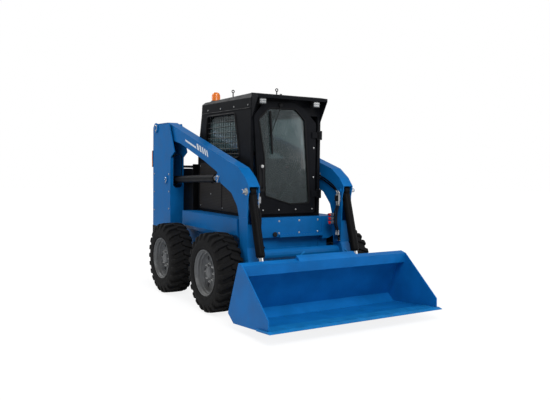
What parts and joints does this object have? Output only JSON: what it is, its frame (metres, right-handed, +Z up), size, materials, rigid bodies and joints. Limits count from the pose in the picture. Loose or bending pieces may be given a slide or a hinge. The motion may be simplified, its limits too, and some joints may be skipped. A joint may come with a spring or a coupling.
{
  "type": "skid steer loader",
  "caption": "Compact wheeled loader with an enclosed cab, a lifting boom hinged behind the cab and a tilting bucket on a quick-attach plate.",
  "frame": {"origin": "on the ground, at the centre of the bounding box's footprint", "axes": "+Z up, the machine faces -Y, +X is the operator's left-hand side"},
  "size_m": [1.874, 3.302, 2.2141],
  "materials": {
    "blue_paint": "gloss",
    "charcoal_paint": "gloss",
    "rim_paint": "satin",
    "tyre_rubber": "matte",
    "black_paint": "satin",
    "chrome_rod": "polished",
    "glass": "polished",
    "seat_vinyl": "matte",
    "control_plastic": "matte",
    "lamp_plastic": "gloss",
    "beacon_orange": "gloss",
    "engine_iron": "matte",
    "hose_rubber": "matte",
    "edge_steel": "worn",
    "bucket_steel": "worn"
  },
  "bodies": {
    "chassis": {"main_frame": "blue_paint", "rear_towers": "blue_paint", "rear_bumper": "charcoal_paint", "engine_block": "engine_iron", "engine_cowl": "black_paint", "axle_housings": "black_paint", "cab_frame": "charcoal_paint", "cab_roof": "charcoal_paint", "cab_windows": "glass", "seat_base": "control_plastic", "seat_cushions": "seat_vinyl", "operator_controls": "control_plastic", "lamps": "lamp_plastic", "beacon": "beacon_orange", "lifting_eyes": "edge_steel"},
    "cab_door": {"door_frame": "charcoal_paint", "door_glass": "glass"},
    "hood_lid": {"hood": "charcoal_paint"},
    "tail_door": {"rear_door": "blue_paint"},
    "boom": {"boom_arm_left": "blue_paint", "boom_arm_right": "blue_paint", "boom_cross_tube": "blue_paint", "boom_fittings": "chrome_rod", "boom_hoses": "hose_rubber"},
    "bucket": {"coupler": "black_paint", "latch_levers": "edge_steel", "bucket_shell": "bucket_steel", "cutting_edge": "edge_steel"},
    "wheel_front_left": {"tyre_front_left": "tyre_rubber", "rim_front_left": "rim_paint"},
    "wheel_rear_left": {"tyre_rear_left": "tyre_rubber", "rim_rear_left": "rim_paint"},
    "wheel_front_right": {"tyre_front_right": "tyre_rubber", "rim_front_right": "rim_paint"},
    "wheel_rear_right": {"tyre_rear_right": "tyre_rubber", "rim_rear_right": "rim_paint"},
    "lift_barrel_left": {"lift_left_barrel": "black_paint"},
    "lift_rod_left": {"lift_left_rod": "chrome_rod"},
    "tilt_barrel_left": {"tilt_left_barrel": "black_paint"},
    "tilt_rod_left": {"tilt_left_rod": "chrome_rod"},
    "lift_barrel_right": {"lift_right_barrel": "black_paint"},
    "lift_rod_right": {"lift_right_rod": "chrome_rod"},
    "tilt_barrel_right": {"tilt_right_barrel": "black_paint"},
    "tilt_rod_right": {"tilt_right_rod": "chrome_rod"}
  },
  "joints": [
    {"name": "wheel_front_left_roll", "type": "hinge", "parent": "chassis", "child": "wheel_front_left", "pos_m": [0.772, -0.33, 0.385], "axis": [1, 0, 0], "continuous": true},
    {"name": "wheel_rear_left_roll", "type": "hinge", "parent": "chassis", "child": "wheel_rear_left", "pos_m": [0.772, 0.77, 0.385], "axis": [1, 0, 0], "continuous": true},
    {"name": "wheel_front_right_roll", "type": "hinge", "parent": "chassis", "child": "wheel_front_right", "pos_m": [-0.772, -0.33, 0.385], "axis": [1, 0, 0], "continuous": true},
    {"name": "wheel_rear_right_roll", "type": "hinge", "parent": "chassis", "child": "wheel_rear_right", "pos_m": [-0.772, 0.77, 0.385], "axis": [1, 0, 0], "continuous": true},
    {"name": "boom_lift", "type": "hinge", "parent": "chassis", "child": "boom", "pos_m": [0, 1.51, 1.85], "axis": [-1, 0, 0], "range_deg": [-1.3, 57]},
    {"name": "bucket_tilt", "type": "hinge", "parent": "boom", "child": "bucket", "pos_m": [0, -0.78, 0.222], "axis": [1, 0, 0], "range_deg": [-20, 100]},
    {"name": "cab_door_swing", "type": "hinge", "parent": "chassis", "child": "cab_door", "pos_m": [0.353, -0.438, 1.43], "axis": [0, 0, 1], "range_deg": [0, 95]},
    {"name": "hood_lift", "type": "hinge", "parent": "chassis", "child": "hood_lid", "pos_m": [0, 0.838, 1.411], "axis": [1, 0, 0], "range_deg": [0, 60]},
    {"name": "tail_door_swing", "type": "hinge", "parent": "chassis", "child": "tail_door", "pos_m": [-0.456, 1.627, 1], "axis": [0, 0, 1], "range_deg": [0, 100]},
    {"name": "lift_pivot_left", "type": "hinge", "parent": "chassis", "child": "lift_barrel_left", "pos_m": [0.547, 1.2, 1.238], "axis": [-1, 0, 0], "range_deg": [-1.77, 56.29]},
    {"name": "lift_stroke_left", "type": "slide", "parent": "lift_barrel_left", "child": "lift_rod_left", "axis": [0, -0.9994, 0.0338], "range_m": [-0.0169, 0.6559]},
    {"name": "tilt_pivot_left", "type": "hinge", "parent": "boom", "child": "tilt_barrel_left", "pos_m": [0.547, -0.665, 1.171], "axis": [1, 0, 0], "range_deg": [-1.14, 3.71]},
    {"name": "tilt_stroke_left", "type": "slide", "parent": "tilt_barrel_left", "child": "tilt_rod_left", "axis": [0, -0.282, -0.9594], "range_m": [-0.0624, 0.3038]},
    {"name": "lift_pivot_right", "type": "hinge", "parent": "chassis", "child": "lift_barrel_right", "pos_m": [-0.547, 1.2, 1.238], "axis": [-1, 0, 0], "range_deg": [-1.77, 56.29]},
    {"name": "lift_stroke_right", "type": "slide", "parent": "lift_barrel_right", "child": "lift_rod_right", "axis": [0, -0.9994, 0.0338], "range_m": [-0.0169, 0.6559]},
    {"name": "tilt_pivot_right", "type": "hinge", "parent": "boom", "child": "tilt_barrel_right", "pos_m": [-0.547, -0.665, 1.171], "axis": [1, 0, 0], "range_deg": [-1.14, 3.71]},
    {"name": "tilt_stroke_right", "type": "slide", "parent": "tilt_barrel_right", "child": "tilt_rod_right", "axis": [0, -0.282, -0.9594], "range_m": [-0.0624, 0.3038]}
  ],
  "couplings": [
    {"joint": "lift_pivot_left", "follows": "boom_lift", "ratio": 0.97874},
    {"joint": "lift_stroke_left", "follows": "boom_lift", "m_per_rad": 0.65725},
    {"joint": "tilt_pivot_left", "follows": "bucket_tilt", "ratio": 0.032095},
    {"joint": "tilt_stroke_left", "follows": "bucket_tilt", "m_per_rad": 0.17291},
    {"joint": "lift_pivot_right", "follows": "boom_lift", "ratio": 0.97874},
    {"joint": "lift_stroke_right", "follows": "boom_lift", "m_per_rad": 0.65725},
    {"joint": "tilt_pivot_right", "follows": "bucket_tilt", "ratio": 0.032095},
    {"joint": "tilt_stroke_right", "follows": "bucket_tilt", "m_per_rad": 0.17291}
  ]
}
